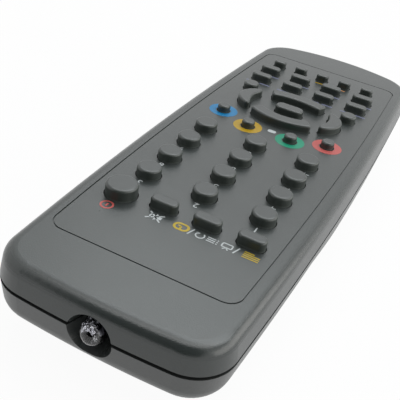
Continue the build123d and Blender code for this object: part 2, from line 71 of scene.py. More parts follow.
def srgb(red: float, green: float, blue: float) -> Colour:
    """Turn a colour as it is read off a screen into a linear one.

    Args:
        red, green, blue: the three channels, from 0 to 255.

    Returns:
        The linear colour that the shaders use.
    """

    def linear(channel: float) -> float:
        """One channel made linear."""
        share = channel / 255
        return share / 12.92 if share <= 0.04045 else ((share + 0.055) / 1.055) ** 2.4

    return linear(red), linear(green), linear(blue)


class Ink(Enum):
    """The printing inks on the top face."""

    WHITE = srgb(188, 193, 194)
    RED = srgb(186, 88, 84)
    YELLOW = srgb(174, 140, 10)
    LEMON = srgb(186, 160, 40)
    GREEN = srgb(20, 140, 108)
    BLUE = srgb(4, 116, 168)
    LAVENDER = srgb(116, 120, 144)
    ORANGE = srgb(196, 140, 96)


class Term:
    """A shader value. Each operator used on it adds one Math node."""

    def __init__(self, graph: "Graph", socket: bpy.types.NodeSocket) -> None:
        """Wrap a socket of a graph."""
        self.graph = graph
        self.socket = socket

    def __add__(self, other: "Value") -> "Term":
        """The sum of two values."""
        return self.graph.maths("ADD", self, other)

    __radd__ = __add__

    def __sub__(self, other: "Value") -> "Term":
        """This value less another."""
        return self.graph.maths("SUBTRACT", self, other)

    def __rsub__(self, other: "Value") -> "Term":
        """Another value less this one."""
        return self.graph.maths("SUBTRACT", other, self)

    def __mul__(self, other: "Value") -> "Term":
        """The product of two values."""
        return self.graph.maths("MULTIPLY", self, other)

    __rmul__ = __mul__

    def size(self) -> "Term":
        """The value without its sign."""
        return self.graph.maths("ABSOLUTE", self)

    def ramp(self, low: float, high: float) -> "Term":
        """Rise smoothly from 0 to 1 between two values.

        Args:
            low: where the result is still 0.
            high: where the result is 1.

        Returns:
            The smooth step.
        """
        node = self.graph.node(
            "ShaderNodeMapRange",
            {"interpolation_type": "SMOOTHSTEP"},
            {"Value": self, "From Min": low, "From Max": high},
        )
        return Term(self.graph, node.outputs["Result"])


Value = Union[Term, float]


class Graph:
    """A node tree under construction."""

    def __init__(self, owner: bpy.types.Material | bpy.types.World) -> None:
        """Empty the node tree of a material or a world.

        Args:
            owner: what the tree belongs to.
        """
        owner.use_nodes = True
        self.tree = owner.node_tree
        self.tree.nodes.clear()

    def node(
        self,
        kind: str,
        settings: Mapping[str, Any] | None = None,
        inputs: Mapping[str | int, Any] | None = None,
    ) -> bpy.types.Node:
        """Add a node.

        Args:
            kind: the node's type.
            settings: what is set on the node itself, before its sockets.
            inputs: the values or links of its sockets, by name or number.

        Returns:
            The new node.
        """
        made = self.tree.nodes.new(kind)
        for key, value in (settings or {}).items():
            setattr(made, key, value)
        self.feed(made, inputs or {})
        return made

    def feed(self, node: bpy.types.Node, inputs: Mapping[str | int, Any]) -> None:
        """Set or link sockets of a node.

        Args:
            node: the node that is fed.
            inputs: a number, colour, socket or Term for each socket.
        """
        for key, value in inputs.items():
            socket = value.socket if isinstance(value, Term) else value
            if isinstance(socket, bpy.types.NodeSocket):
                self.tree.links.new(socket, node.inputs[key])
            elif isinstance(socket, tuple) and node.inputs[key].type == "RGBA":
                node.inputs[key].default_value = (*socket, 1.0)
            else:
                node.inputs[key].default_value = socket

    def maths(self, operation: str, *values: Value) -> Term:
        """One Math node on one or two values."""
        inputs = dict(enumerate(values))
        node = self.node("ShaderNodeMath", {"operation": operation}, inputs)
        return Term(self, node.outputs[0])

    def blend(self, first: Any, second: Any, share: Value) -> bpy.types.NodeSocket:
        """Mix two colours.

        Args:
            first: the colour where the share is 0.
            second: the colour where the share is 1.
            share: how much of the second colour shows.

        Returns:
            The mixed colour's socket.
        """
        colour_a, colour_b, colour_out = 6, 7, 2
        node = self.node(
            "ShaderNodeMix",
            {"data_type": "RGBA"},
            {0: share, colour_a: first, colour_b: second},
        )
        return node.outputs[colour_out]

    def place(self) -> bpy.types.NodeSocket:
        """The point's place on the part, in metres."""
        return self.node("ShaderNodeTexCoord").outputs["Object"]

    def along(self, axis: str) -> Term:
        """One coordinate of the point's place, in metres."""
        node = self.node("ShaderNodeSeparateXYZ", inputs={0: self.place()})
        return Term(self, node.outputs[axis])

    def facing(self, axis: str) -> Term:
        """How far the surface faces along an axis, from -1 to 1."""
        normal = self.node("ShaderNodeTexCoord").outputs["Normal"]
        node = self.node("ShaderNodeSeparateXYZ", inputs={0: normal})
        return Term(self, node.outputs[axis])

    def stretched(self, stretch: Sequence[float]) -> bpy.types.NodeSocket:
        """The point's place scaled by a different amount along each axis."""
        node = self.node("ShaderNodeMapping", inputs={"Vector": self.place(), "Scale": stretch})
        return node.outputs["Vector"]

    def speckle(
        self, grain_mm: float, detail: float = 2.0, place: bpy.types.NodeSocket | None = None
    ) -> Term:
        """Soft noise from 0 to 1.

        Args:
            grain_mm: the size of one grain in millimetres.
            detail: how many finer layers it has.
            place: where it is read, if not at the point's own place.

        Returns:
            The noise.
        """
        node = self.node(
            "ShaderNodeTexNoise",
            inputs={
                "Vector": place or self.place(),
                "Scale": 1 / (grain_mm * MM),
                "Detail": detail,
            },
        )
        return Term(self, node.outputs["Fac"])


class Skin(Graph):
    """The node tree of one material, with its main shader and output in place."""

    def __init__(self, name: str) -> None:
        """Start a material.

        Args:
            name: the material's name.
        """
        self.material = bpy.data.materials.new(name)
        super().__init__(self.material)
        self.surface = self.node("ShaderNodeBsdfPrincipled")
        self.output = self.node(
            "ShaderNodeOutputMaterial", inputs={"Surface": self.surface.outputs["BSDF"]}
        )

    def roughen(self, height: Value, depth_mm: float, strength: float = 1.0) -> None:
        """Let a height stand out of the surface.

        Args:
            height: the relief, from 0 to 1.
            depth_mm: how deep it is in millimetres.
            strength: how much of it shows.
        """
        inputs = {"Height": height, "Distance": depth_mm * MM, "Strength": strength}
        bump = self.node("ShaderNodeBump", inputs=inputs)
        self.feed(self.surface, {"Normal": bump.outputs["Normal"]})


def deeper(tone: Colour, share: float) -> Colour:
    """A colour made darker, or lighter with a share over 1."""
    return tone[0] * share, tone[1] * share, tone[2] * share


@dataclass(frozen=True)
class MouldedPlastic:
    """Grey plastic with the fine grain of a spark-eroded mould, rubbed smooth on its edges."""

    name: str
    tone: Colour
    roughness: float = 0.3
    rubbed: float = 0.1
    grain_mm: float = 0.24
    grain_depth_mm: float = 0.02
    patch_mm: float = 9.0
    patch_tones: tuple[float, float] = (0.93, 1.08)
    fleck_mm: float = 0.5
    fleck_tone: float = 1.25
    scuff_mm: float = 1.1
    scuff_stretch: Triple = (1.0, 0.25, 1.0)
    ior: float = 1.6

    def build(self) -> bpy.types.Material:
        """The material."""
        graph = Skin(self.name)
        patch = graph.speckle(self.patch_mm, 3.0)
        fleck = graph.speckle(self.fleck_mm).ramp(0.45, 0.75)
        dark, light = (deeper(self.tone, share) for share in self.patch_tones)
        tone = graph.blend(dark, light, patch)
        tone = graph.blend(tone, deeper(self.tone, self.fleck_tone), fleck * 0.3)
        up = graph.facing("Z")
        edge = up.ramp(0.1, 0.6) * (1.0 - up.ramp(0.8, 0.99))
        scratched = graph.stretched(self.scuff_stretch)
        scuff = graph.speckle(self.scuff_mm, 4.0, scratched).ramp(0.6, 0.78)
        rough = self.roughness + patch * 0.06 - edge * self.rubbed - scuff * 0.05
        graph.feed(graph.surface, {"Base Color": tone, "Roughness": rough, "IOR": self.ior})
        graph.roughen(graph.speckle(self.grain_mm, 1.0), self.grain_depth_mm)
        return graph.material


@dataclass(frozen=True)
class Rubber:
    """Moulded silicone rubber, with painted light and shade besides finger wear on its upward faces,
    and a pale band painted as light at its foot.
    """

    name: str
    tone: Colour
    worn_and_painted_top: Colour
    roughness: float = 0.36
    foot: float | None = None
    # Pale colour of the band painted as light at the foot of a key.
    painted_foot_light: Colour = srgb(96, 102, 99)
    painted_foot_light_rise_mm: float = 0.5
    patch_mm: float = 2.2
    grain_mm: float = 0.12
    grain_depth_mm: float = 0.006
    ior: float = 1.6

    def build(self) -> bpy.types.Material:
        """The material."""
        graph = Skin(self.name)
        patch = graph.speckle(self.patch_mm, 3.0)
        top = graph.facing("Z").ramp(0.55, 0.98)
        # Painted light and shade: the upward faces take another colour than the sides, together with
        # finger wear.
        tone = graph.blend(self.tone, self.worn_and_painted_top, top)
        tone = graph.blend(tone, deeper(self.worn_and_painted_top, 1.15), patch.ramp(0.5, 0.8) * top * 0.35)
        if self.foot is not None:
            # Painted light: a pale band at the foot lifts the shade where the key leaves the face.
            above_painted_light = graph.along("Z").ramp(self.foot, self.foot + self.painted_foot_light_rise_mm * MM)
            tone = graph.blend(self.painted_foot_light, tone, above_painted_light)
        rough = self.roughness + patch * 0.08 - top * 0.06
        graph.feed(graph.surface, {"Base Color": tone, "Roughness": rough, "IOR": self.ior})
        graph.roughen(graph.speckle(self.grain_mm, 1.0), self.grain_depth_mm)
        return graph.material


@dataclass(frozen=True)
class PrintInk:
    """Screen-printed ink: a thin even film with faint wear."""

    ink: Ink
    roughness: float = 0.42
    wear_mm: float = 0.35
    worn_tone: float = 0.55
    patch_mm: float = 1.5
    thin_tone: float = 0.9
    grain_mm: float = 0.14
    grain_depth_mm: float = 0.006
    ior: float = 1.4

    def build(self) -> bpy.types.Material:
        """The material."""
        graph = Skin("ink_" + self.ink.name.lower())
        full = self.ink.value
        wear = graph.speckle(self.wear_mm, 4.0).ramp(0.58, 0.8)
        tone = graph.blend(deeper(full, self.thin_tone), full, graph.speckle(self.patch_mm))
        tone = graph.blend(tone, deeper(full, self.worn_tone), wear * 0.35)
        rough = self.roughness + wear * 0.15
        graph.feed(graph.surface, {"Base Color": tone, "Roughness": rough, "IOR": self.ior})
        graph.roughen(graph.speckle(self.grain_mm, 1.0), self.grain_depth_mm)
        return graph.material


@dataclass(frozen=True)
class ClearResin:
    """Cast resin with a faintly wavy skin: clear at its tip, with painted shade behind it on one flank.
    """

    name: str
    tip_y: float
    tone: Colour = (0.85, 0.86, 0.89)
    # Dark tint painted as shade behind the tip on one flank.
    painted_shade: Colour = (0.02, 0.02, 0.024)
    painted_shade_from_tip: float = 1.2
    painted_shade_soft: float = 0.8
    painted_shade_flank: tuple[float, float] = (-0.9, -0.3)
    roughness: float = 0.03
    haze_mm: float = 0.7
    wave_mm: float = 1.1
    wave_depth_mm: float = 0.09
    ior: float = 1.53

    def build(self) -> bpy.types.Material:
        """The material."""
        graph = Skin(self.name)
        fixed = {"Transmission Weight": 1.0, "IOR": self.ior}
        # Painted shade: a dark tint behind the tip on one flank stands in for the shade there.
        start = (self.tip_y - self.painted_shade_from_tip) * MM
        behind = 1.0 - graph.along("Y").ramp(start - self.painted_shade_soft * MM, start)
        shaded_x, clear = self.painted_shade_flank
        flank = 1.0 - graph.along("X").ramp(shaded_x * MM, clear * MM)
        tone = graph.blend(self.tone, self.painted_shade, behind * flank)
        haze = self.roughness + graph.speckle(self.haze_mm).ramp(0.5, 0.8) * 0.05
        graph.feed(graph.surface, {"Base Color": tone, "Roughness": haze, **fixed})
        graph.roughen(graph.speckle(self.wave_mm, 3.0), self.wave_depth_mm)
        return graph.material


@dataclass(frozen=True)
class Metal:
    """Plain or plated metal with drawn or stamped marks."""

    name: str
    tone: Colour
    roughness: float = 0.28
    mark_mm: float = 0.3
    stretch: Triple = (1.0, 0.12, 1.0)
    relief_mm: float = 0.01
    dull_mm: float = 2.0
    dull_tone: float = 0.7

    def build(self) -> bpy.types.Material:
        """The material."""
        graph = Skin(self.name)
        marks = graph.speckle(self.mark_mm, 3.0, graph.stretched(self.stretch))
        dull = graph.speckle(self.dull_mm, 3.0).ramp(0.45, 0.75)
        tone = graph.blend(self.tone, deeper(self.tone, self.dull_tone), dull * 0.6)
        rough = self.roughness + marks * 0.12 + dull * 0.1
        graph.feed(graph.surface, {"Base Color": tone, "Roughness": rough, "Metallic": 1.0})
        graph.roughen(marks, self.relief_mm)
        return graph.material


@dataclass(frozen=True)
class Resin:
    """A moulded or dipped component body, with metal legs where it has them."""

    name: str
    tone: Colour
    roughness: float = 0.4
    legs_beyond_y: tuple[float, float] | None = None
    leg_tone: Colour = (0.62, 0.62, 0.6)
    leg_edge_mm: float = 0.05
    patch_mm: float = 1.4
    patch_tones: tuple[float, float] = (0.85, 1.15)
    grain_mm: float = 0.2
    grain_depth_mm: float = 0.01

    def build(self) -> bpy.types.Material:
        """The material."""
        graph = Skin(self.name)
        patch = graph.speckle(self.patch_mm, 3.0)
        dark, light = (deeper(self.tone, share) for share in self.patch_tones)
        tone = graph.blend(dark, light, patch)
        rough: Value = self.roughness + patch * 0.1
        inputs: dict[str, Any] = {"Base Color": tone, "Roughness": rough}
        if self.legs_beyond_y:
            middle, half = self.legs_beyond_y
            beyond = half + self.leg_edge_mm
            leg = (graph.along("Y") - middle * MM).size().ramp(half * MM, beyond * MM)
            inputs["Base Color"] = graph.blend(tone, self.leg_tone, leg)
            inputs["Roughness"] = rough - leg * 0.1
            inputs["Metallic"] = leg
        graph.feed(graph.surface, inputs)
        graph.roughen(graph.speckle(self.grain_mm), self.grain_depth_mm)
        return graph.material


@dataclass(frozen=True)
class Laminate:
    """A circuit board: solder mask over straight copper tracks."""

    name: str = "board"
    mask: Colour = srgb(28, 92, 58)
    track: Colour = srgb(58, 128, 78)
    edge: Colour = srgb(150, 132, 84)
    roughness: float = 0.3
    track_pitch_mm: float = 4.0
    track_share: float = 0.06
    track_depth_mm: float = 0.03
    patch_mm: float = 1.2
    ior: float = 1.5

    def build(self) -> bpy.types.Material:
        """The material."""
        graph = Skin(self.name)
        tracks = graph.node(
            "ShaderNodeTexBrick",
            {"offset": 0.37, "squash": 0.6, "squash_frequency": 3},
            {
                "Vector": graph.place(),
                "Scale": 1 / (self.track_pitch_mm * MM),
                "Mortar Size": self.track_share,
                "Mortar Smooth": 0.2,
                "Brick Width": 2.2,
                "Row Height": 0.5,
            },
        )
        copper = Term(graph, tracks.outputs["Fac"])
        face = graph.facing("Z").size().ramp(0.6, 0.8)
        tone = graph.blend(self.mask, self.track, copper)
        tone = graph.blend(self.edge, tone, face)
        rough = self.roughness + graph.speckle(self.patch_mm) * 0.15
        graph.feed(graph.surface, {"Base Color": tone, "Roughness": rough, "IOR": self.ior})
        graph.roughen(copper * face, self.track_depth_mm)
        return graph.material


@dataclass(frozen=True)
class CellJacket:
    """A dry cell's printed jacket: one plain colour, a collar at one end and bare metal caps."""

    name: str
    jacket_y: tuple[float, float]
    collar_y: tuple[float, float]
    jacket: Colour = srgb(38, 48, 62)
    collar: Colour = srgb(178, 112, 58)
    steel: Colour = (0.6, 0.6, 0.58)
    roughness: float = 0.3
    print_edge_mm: float = 0.1
    scratch_mm: float = 0.5
    scratch_stretch: Triple = (1.0, 0.1, 1.0)
    scratch_depth_mm: float = 0.006

    def band(self, graph: Graph, span: tuple[float, float]) -> Term:
        """A mask that is 1 between two places along the cell."""
        low, high = span
        soft = self.print_edge_mm
        at = graph.along("Y")
        begins = at.ramp((low - soft) * MM, low * MM)
        return begins * (1.0 - at.ramp(high * MM, (high + soft) * MM))

    def build(self) -> bpy.types.Material:
        """The material."""
        graph = Skin(self.name)
        jacket = self.band(graph, self.jacket_y)
        collar = self.band(graph, self.collar_y)
        printed = graph.maths("MAXIMUM", jacket, collar)
        tone = graph.blend(self.steel, self.jacket, jacket)
        tone = graph.blend(tone, self.collar, collar)
        scratch = graph.speckle(self.scratch_mm, 3.0, graph.stretched(self.scratch_stretch))
        rough = self.roughness + scratch * 0.12
        inputs = {"Base Color": tone, "Roughness": rough, "Metallic": 1.0 - printed * 0.6}
        graph.feed(graph.surface, inputs)
        graph.roughen(scratch, self.scratch_depth_mm)
        return graph.material


def dress(material: bpy.types.Material, *names: str) -> None:
    """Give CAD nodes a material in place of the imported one.

    Args:
        material: the finish.
        names: the CAD nodes.
    """
    for name in names:
        mesh = frame["nodes"][name].data
        mesh.materials.clear()
        mesh.materials.append(material)
        log.info("dressed %s in %s", name, material.name)


def add_piece(
    name: str,
    shape: bmesh.types.BMesh,
    material: bpy.types.Material,
    body: str = "root",
    smooth: bool = False,
) -> bpy.types.Object:
    """Turn a mesh under construction into a piece that rides on a body.

    Args:
        name: the piece's name.
        shape: the mesh, which is freed.
        material: its finish.
        body: the CAD body that it rides on.
        smooth: whether its faces are shaded as one smooth surface.

    Returns:
        The new object.
    """
    bmesh.ops.recalc_face_normals(shape, faces=shape.faces)
    mesh = bpy.data.meshes.new(name)
    shape.to_mesh(mesh)
    shape.free()
    mesh.materials.append(material)
    for polygon in mesh.polygons:
        polygon.use_smooth = smooth
    piece = bpy.data.objects.new(name, mesh)
    bpy.context.scene.collection.objects.link(piece)
    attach(piece, body)
    log.info("added %s with %d faces", name, len(mesh.polygons))
    return piece


def arc(centre: Point, radius: float, start: float, end: float, count: int = 32) -> list[Point]:
    """Points along an arc.

    Args:
        centre: the middle of the arc.
        radius: its radius.
        start: the first angle in degrees, from +X towards +Y.
        end: the last angle in degrees.
        count: the number of steps.

    Returns:
        The points, one more than the steps.
    """
    turns = [math.radians(start + (end - start) * index / count) for index in range(count + 1)]
    return [(centre[0] + radius * math.cos(t), centre[1] + radius * math.sin(t)) for t in turns]


def rectangle(centre: Point, width: float, height: float, bevel: float) -> list[Point]:
    """A closed rectangle with round corners, as points."""
    half_x, half_y = width / 2 - bevel, height / 2 - bevel
    points: list[Point] = []
    for x, y, start in (
        (half_x, half_y, 0),
        (-half_x, half_y, 90),
        (-half_x, -half_y, 180),
        (half_x, -half_y, 270),
    ):
        points += arc((centre[0] + x, centre[1] + y), bevel, start, start + 90, 6)
    return points


class Stencil:
    """Flat printed marks, drawn in millimetres on the top face as thin films of ink."""

    def __init__(self, base_z: float, film: float) -> None:
        """Start an empty stencil.

        Args:
            base_z: the height of the surface that is printed on.
            film: how far the ink stands out of it.
        """
        self.low = base_z - film
        self.high = base_z + film
        self.shape = bmesh.new()

    def ribbon(self, left: Sequence[Point], right: Sequence[Point], closed: bool) -> None:
        """A film between two rails of equal length.

        Args:
            left, right: the points of the two rails.
            closed: whether the last points join the first.
        """
        rails = [
            [self.shape.verts.new((x * MM, y * MM, z * MM)) for x, y in rail]
            for rail in (left, right)
            for z in (self.low, self.high)
        ]
        left_low, left_high, right_low, right_high = rails
        count = len(left)
        sides = (
            (left_high, right_high),
            (right_high, right_low),
            (right_low, left_low),
            (left_low, left_high),
        )
        for index in range(count if closed else count - 1):
            after = (index + 1) % count
            for one, two in sides:
                self.shape.faces.new((one[index], one[after], two[after], two[index]))
        if not closed:
            around = (left_low, left_high, right_high, right_low)
            for index in (0, count - 1):
                self.shape.faces.new([rail[index] for rail in around])

    def stroke(self, path: Sequence[Point], width: float, closed: bool = False) -> "Stencil":
        """A line of even width along a path.

        Args:
            path: the middle of the line.
            width: how wide the line is.
            closed: whether it ends where it starts.

        Returns:
            This stencil.
        """
        count = len(path)
        left: list[Point] = []
        right: list[Point] = []
        for index, (x, y) in enumerate(path):
            before = path[index - 1] if index or closed else path[0]
            after = path[(index + 1) % count] if index < count - 1 or closed else path[-1]
            run, rise = after[0] - before[0], after[1] - before[1]
            length = math.hypot(run, rise) or 1.0
            aside = (-rise / length * width / 2, run / length * width / 2)
            left.append((x + aside[0], y + aside[1]))
            right.append((x - aside[0], y - aside[1]))
        self.ribbon(left, right, closed)
        return self

    def slash(self, centre: Point, reach: Point, width: float) -> "Stencil":
        """A straight line through a place.

        Args:
            centre: the middle of the line.
            reach: how far it runs each way, along X and along Y.
            width: how wide the line is.

        Returns:
            This stencil.
        """
        (x, y), (run, rise) = centre, reach
        return self.stroke([(x - run, y - rise), (x + run, y + rise)], width)

    def solid(self, outline: Sequence[Point]) -> "Stencil":
        """A filled shape inside an outline."""
        low = [self.shape.verts.new((x * MM, y * MM, self.low * MM)) for x, y in outline]
        high = [self.shape.verts.new((x * MM, y * MM, self.high * MM)) for x, y in outline]
        self.shape.faces.new(high)
        self.shape.faces.new(low[::-1])
        for index in range(len(outline)):
            after = (index + 1) % len(outline)
            self.shape.faces.new((low[index], low[after], high[after], high[index]))
        return self

    def numeral(self, text: str, centre: Point, height: float) -> "Stencil":
        """A plain numeral from the built-in font.

        Args:
            text: the numeral.
            centre: the middle of it.
            height: the height of the letters.

        Returns:
            This stencil.
        """
        capital_share, bolder = 0.7, 0.02
        curve = bpy.data.curves.new("numeral", "FONT")
        curve.body = text
        curve.size = height / capital_share * MM
        curve.extrude = (self.high - self.low) / 2 * MM
        curve.offset = bolder * MM
        curve.align_x, curve.align_y = "CENTER", "CENTER"
        holder = bpy.data.objects.new("numeral", curve)
        bpy.context.scene.collection.objects.link(holder)
        bpy.context.view_layer.update()
        mesh = bpy.data.meshes.new_from_object(holder)
        middle_z = (self.high + self.low) / 2
        mesh.transform(Matrix.Translation((centre[0] * MM, centre[1] * MM, middle_z * MM)))
        self.shape.from_mesh(mesh)
        bpy.data.objects.remove(holder)
        bpy.data.meshes.remove(mesh)
        return self


@dataclass
class Housing:
    """The two halves of the case and the battery cover, in one grey plastic."""

    tone: Colour = srgb(51, 56, 55)
    under_tone: Colour = srgb(58, 61, 60)

    def dress(self) -> None:
        """Give the mouldings their finish."""
        dress(MouldedPlastic("housing_top", self.tone).build(), "top_shell")
        under = MouldedPlastic("housing_under", self.under_tone, roughness=0.34)
        dress(under.build(), "bottom_shell", "battery_cover")


@dataclass
class Keypad:
    """The rubber keys and the mat that they stand on."""

    tone: Colour = srgb(56, 63, 59)
    # Colour of the key tops: painted shade together with finger wear.
    worn_and_painted_top: Colour = srgb(49, 54, 53)
    mat_tone: Colour = srgb(44, 46, 46)

    def key_names(self) -> list[str]:
        """Every key, which is every body but the root and the cover."""
        return sorted(name for name in frame["bodies"] if name not in ("root", "battery_cover"))

    def dress(self) -> None:
        """Give the keys and the mat their rubber."""
        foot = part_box("top_shell")[1].z
        dress(Rubber("key_rubber", self.tone, self.worn_and_painted_top, foot=foot).build(), *self.key_names())
        # The mat's upward faces are painted a fifth lighter, as painted light.
        mat = Rubber("mat_rubber", self.mat_tone, deeper(self.mat_tone, 1.2), roughness=0.6)
        dress(mat.build(), "keypad_mat")


@dataclass
class FacePrint:
    """What is printed on the top face: rings, numerals and plain signs, read from the base end."""

    film: float = 0.03
    ring_inner: float = 2.1
    ring_outer: float = 4.0
    numeral_height: float = 1.8
    numeral_gap: float = 1.3
    line: float = 0.42
    thin_line: float = 0.3
    flange_width: float = 0.5
    clock_at: Point = (-1.2, 49.4)
    sign_row_y: float = 49.6
    inks: dict[Ink, bpy.types.Material] = field(default_factory=dict)

    def top_z(self) -> float:
        """The height of the top face, in millimetres."""
        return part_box("top_shell")[1].z / MM

    def middle(self, node: str) -> Point:
        """The middle of a key seen from above, in millimetres."""
        low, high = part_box(node)
        return (low.x + high.x) / 2 / MM, (low.y + high.y) / 2 / MM

    def far_edge(self, node: str) -> float:
        """How far towards the emitter end a key reaches above the face, in millimetres."""
        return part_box(node)[1].y / MM - self.flange_width

    def beyond(self, node: str, gap: float) -> Point:
        """The place in front of a key where its sign goes, in millimetres."""
        return self.middle(node)[0], self.far_edge(node) + gap

    def stencil(self) -> Stencil:
        """An empty stencil on the top face."""
        return Stencil(self.top_z(), self.film)

    def print(self, name: str, stencil: Stencil, ink: Ink) -> None:
        """Turn a stencil into a printed piece."""
        if ink not in self.inks:
            self.inks[ink] = PrintInk(ink).build()
        add_piece("print_" + name, stencil.shape, self.inks[ink])

    def colour_rings(self) -> None:
        """A ring round each colour key."""
        width = self.ring_outer - self.ring_inner
        radius = (self.ring_outer + self.ring_inner) / 2
        for name, ink in (
            ("blue", Ink.BLUE),
            ("yellow", Ink.YELLOW),
            ("green", Ink.GREEN),
            ("red", Ink.RED),
        ):
            circle = arc(self.middle(name + "_key"), radius, 0, 360, 64)[:-1]
            self.print(name + "_ring", self.stencil().stroke(circle, width, True), ink)

    def numerals(self) -> None:
        """A small numeral beside each number key."""
        for digit in "0123456789":
            place = self.beyond("number_key_" + digit, self.numeral_gap)
            mark = self.stencil().numeral(digit, place, self.numeral_height)
            self.print("numeral_" + digit, mark, Ink.WHITE)

    def dash_sign(self) -> None:
        """The sign for numbers of two digits: a dash, a slash and two dashes."""
        dash, dash_starts, dash_width = 0.7, (-2.0, 0.5, 1.5), 0.25
        slash_x, slash_reach, slash_width = -0.55, (0.35, 0.7), 0.22
        x, y = self.beyond("number_key_dash", self.numeral_gap)
        mark = self.stencil()
        for start in dash_starts:
            mark.stroke([(x + start, y), (x + start + dash, y)], dash_width)
        mark.slash((x + slash_x, y), slash_reach, slash_width)
        self.print("dash_sign", mark, Ink.WHITE)

    def power_sign(self) -> None:
        """A ring with a bar in it."""
        gap, aside, radius, bar_half = 1.9, 0.1, 1.3, 0.55
        x, y = self.beyond("power_key", gap)
        centre = (x + aside, y)
        mark = self.stencil().stroke(arc(centre, radius, 0, 360)[:-1], self.line, True)
        mark.slash(centre, (0, bar_half), self.line)
        self.print("power_sign", mark, Ink.RED)

    def mute_sign(self) -> None:
        """A loudspeaker with a cross over it."""
        gap, depth, horn, throat, mouth = 2.3, 1.5, 0.8, 0.45, 1.2
        run, rise, cross_width = 1.7, 1.3, 0.36
        wave_radius, wave_turn, wave_width = 1.1, 50, 0.32
        x, y = self.beyond("mute_key", gap)
        lower = [(x - depth, y - throat), (x - horn, y - throat), (x, y - mouth)]
        upper = [(x, y + mouth), (x - horn, y + throat), (x - depth, y + throat)]
        mark = self.stencil().solid(lower + upper)
        mark.slash((x, y), (run, rise), cross_width)
        mark.slash((x, y), (run, -rise), cross_width)
        mark.stroke(arc((x, y), wave_radius, -wave_turn, wave_turn, 10), wave_width)
        self.print("mute_sign", mark, Ink.WHITE)

    def clock_sign(self) -> None:
        """An oval clock face in yellow, beside the recall key."""
        width, height, bevel, rim = 3.1, 2.1, 1.0, 0.55
        long_hand, short_hand = 0.75, (0.8, -0.25)
        x, y = self.clock_at
        mark = self.stencil().stroke(rectangle((x, y), width, height, bevel), rim, True)
        mark.stroke([(x, y + long_hand), (x, y)], self.line)
        mark.stroke([(x, y), (x + short_hand[0], y + short_hand[1])], self.line)
        self.print("clock_sign", mark, Ink.LEMON)

    def turned_arrow(self, mark: Stencil, centre: Point) -> None:
        """Most of a circle, which ends in an arrow head."""
        radius, start, end, steps = 0.95, -40, 230, 16
        head_near, head_far, head_base, head_tip = 0.2, 1.1, -0.75, -0.05
        x, y = centre
        mark.stroke(arc(centre, radius, start, end, steps), self.thin_line)
        base = [(x + head_near, y + head_base), (x + head_far, y + head_base)]
        mark.solid([*base, (x + (head_near + head_far) / 2, y + head_tip)])

    def list_lines(self, mark: Stencil) -> None:
        """Three lines of a list, each with its dot."""
        pitch, line_x, dot_x = 0.62, (-7.2, -9.0), (-9.3, -9.6)
        for row in (-1, 0, 1):
            y = self.sign_row_y + row * pitch
            for start, end in (line_x, dot_x):
                mark.stroke([(start, y), (end, y)], self.thin_line)

    def screen(self, mark: Stencil, centre: Point) -> None:
        """A screen with two aerials."""
        width, height, bevel, drop = 2.2, 1.3, 0.25, 0.25
        aerial_root, aerial_tip, spread = 0.5, 1.1, 0.6
        x, y = centre
        mark.stroke(rectangle((x, y - drop), width, height, bevel), self.thin_line, True)
        for side in (-1, 1):
            tip = (x + side * spread, y + aerial_tip)
            mark.stroke([(x, y + aerial_root), tip], self.thin_line)

    def picture_signs(self) -> None:
        """White signs over the recall and text keys: slashes, a turned arrow, a list, a screen."""
        slashes_x, slash_reach, arrow_x, screen_x = (-3.5, -13.7), (0.35, 1.15), -5.6, -11.6
        mark = self.stencil()
        for x in slashes_x:
            mark.slash((x, self.sign_row_y), slash_reach, self.thin_line)
        self.turned_arrow(mark, (arrow_x, self.sign_row_y))
        self.list_lines(mark)
        self.screen(mark, (screen_x, self.sign_row_y))
        self.print("picture_sign", mark, Ink.WHITE)

    def page_sign(self) -> None:
        """Four lines of a page in yellow, the last one short."""
        top, pitch, lines, start_x, full_x, short_x = 0.9, 0.6, 4, -15.2, -18.7, -17.3
        mark = self.stencil()
        for line in range(lines):
            y = self.sign_row_y + top - pitch * line
            end_x = full_x if line < lines - 1 else short_x
            mark.stroke([(start_x, y), (end_x, y)], self.thin_line)
        self.print("page_sign", mark, Ink.LEMON)

    def menu_sign(self) -> None:
        """A white spot above the middle key."""
        place, width, height, bevel = (-0.3, -5.7), 2.3, 1.6, 0.6
        self.print("menu_sign", self.stencil().solid(rectangle(place, width, height, bevel)), Ink.WHITE)

    def far_signs(self) -> None:
        """A coloured dash at two of the small keys, and two pale ones at each key of the rows."""
        gap, half, width = 1.5, 1.3, 0.6
        for name, column, ink in (("hold", 3, Ink.YELLOW), ("reveal", 2, Ink.ORANGE)):
            place = self.beyond(f"small_key_{column}", gap)
            self.print(name + "_sign", self.stencil().slash(place, (half, 0), width), ink)
        row_gap, row_dashes, row_width = 1.3, ((-3.9, -0.5), (0.4, 3.9)), 0.7
        pale = self.stencil()
        for row in (1, 2):
            for column in range(1, 5):
                x, y = self.beyond(f"lower_key_{row}_{column}", row_gap)
                for start, end in row_dashes:
                    pale.stroke([(x + start, y), (x + end, y)], row_width)
        self.print("row_signs", pale, Ink.LAVENDER)

    def build(self) -> None:
        """Print everything."""
        self.colour_rings()
        self.numerals()
        self.dash_sign()
        self.power_sign()
        self.mute_sign()
        self.clock_sign()
        self.picture_signs()
        self.page_sign()
        self.menu_sign()
        self.far_signs()


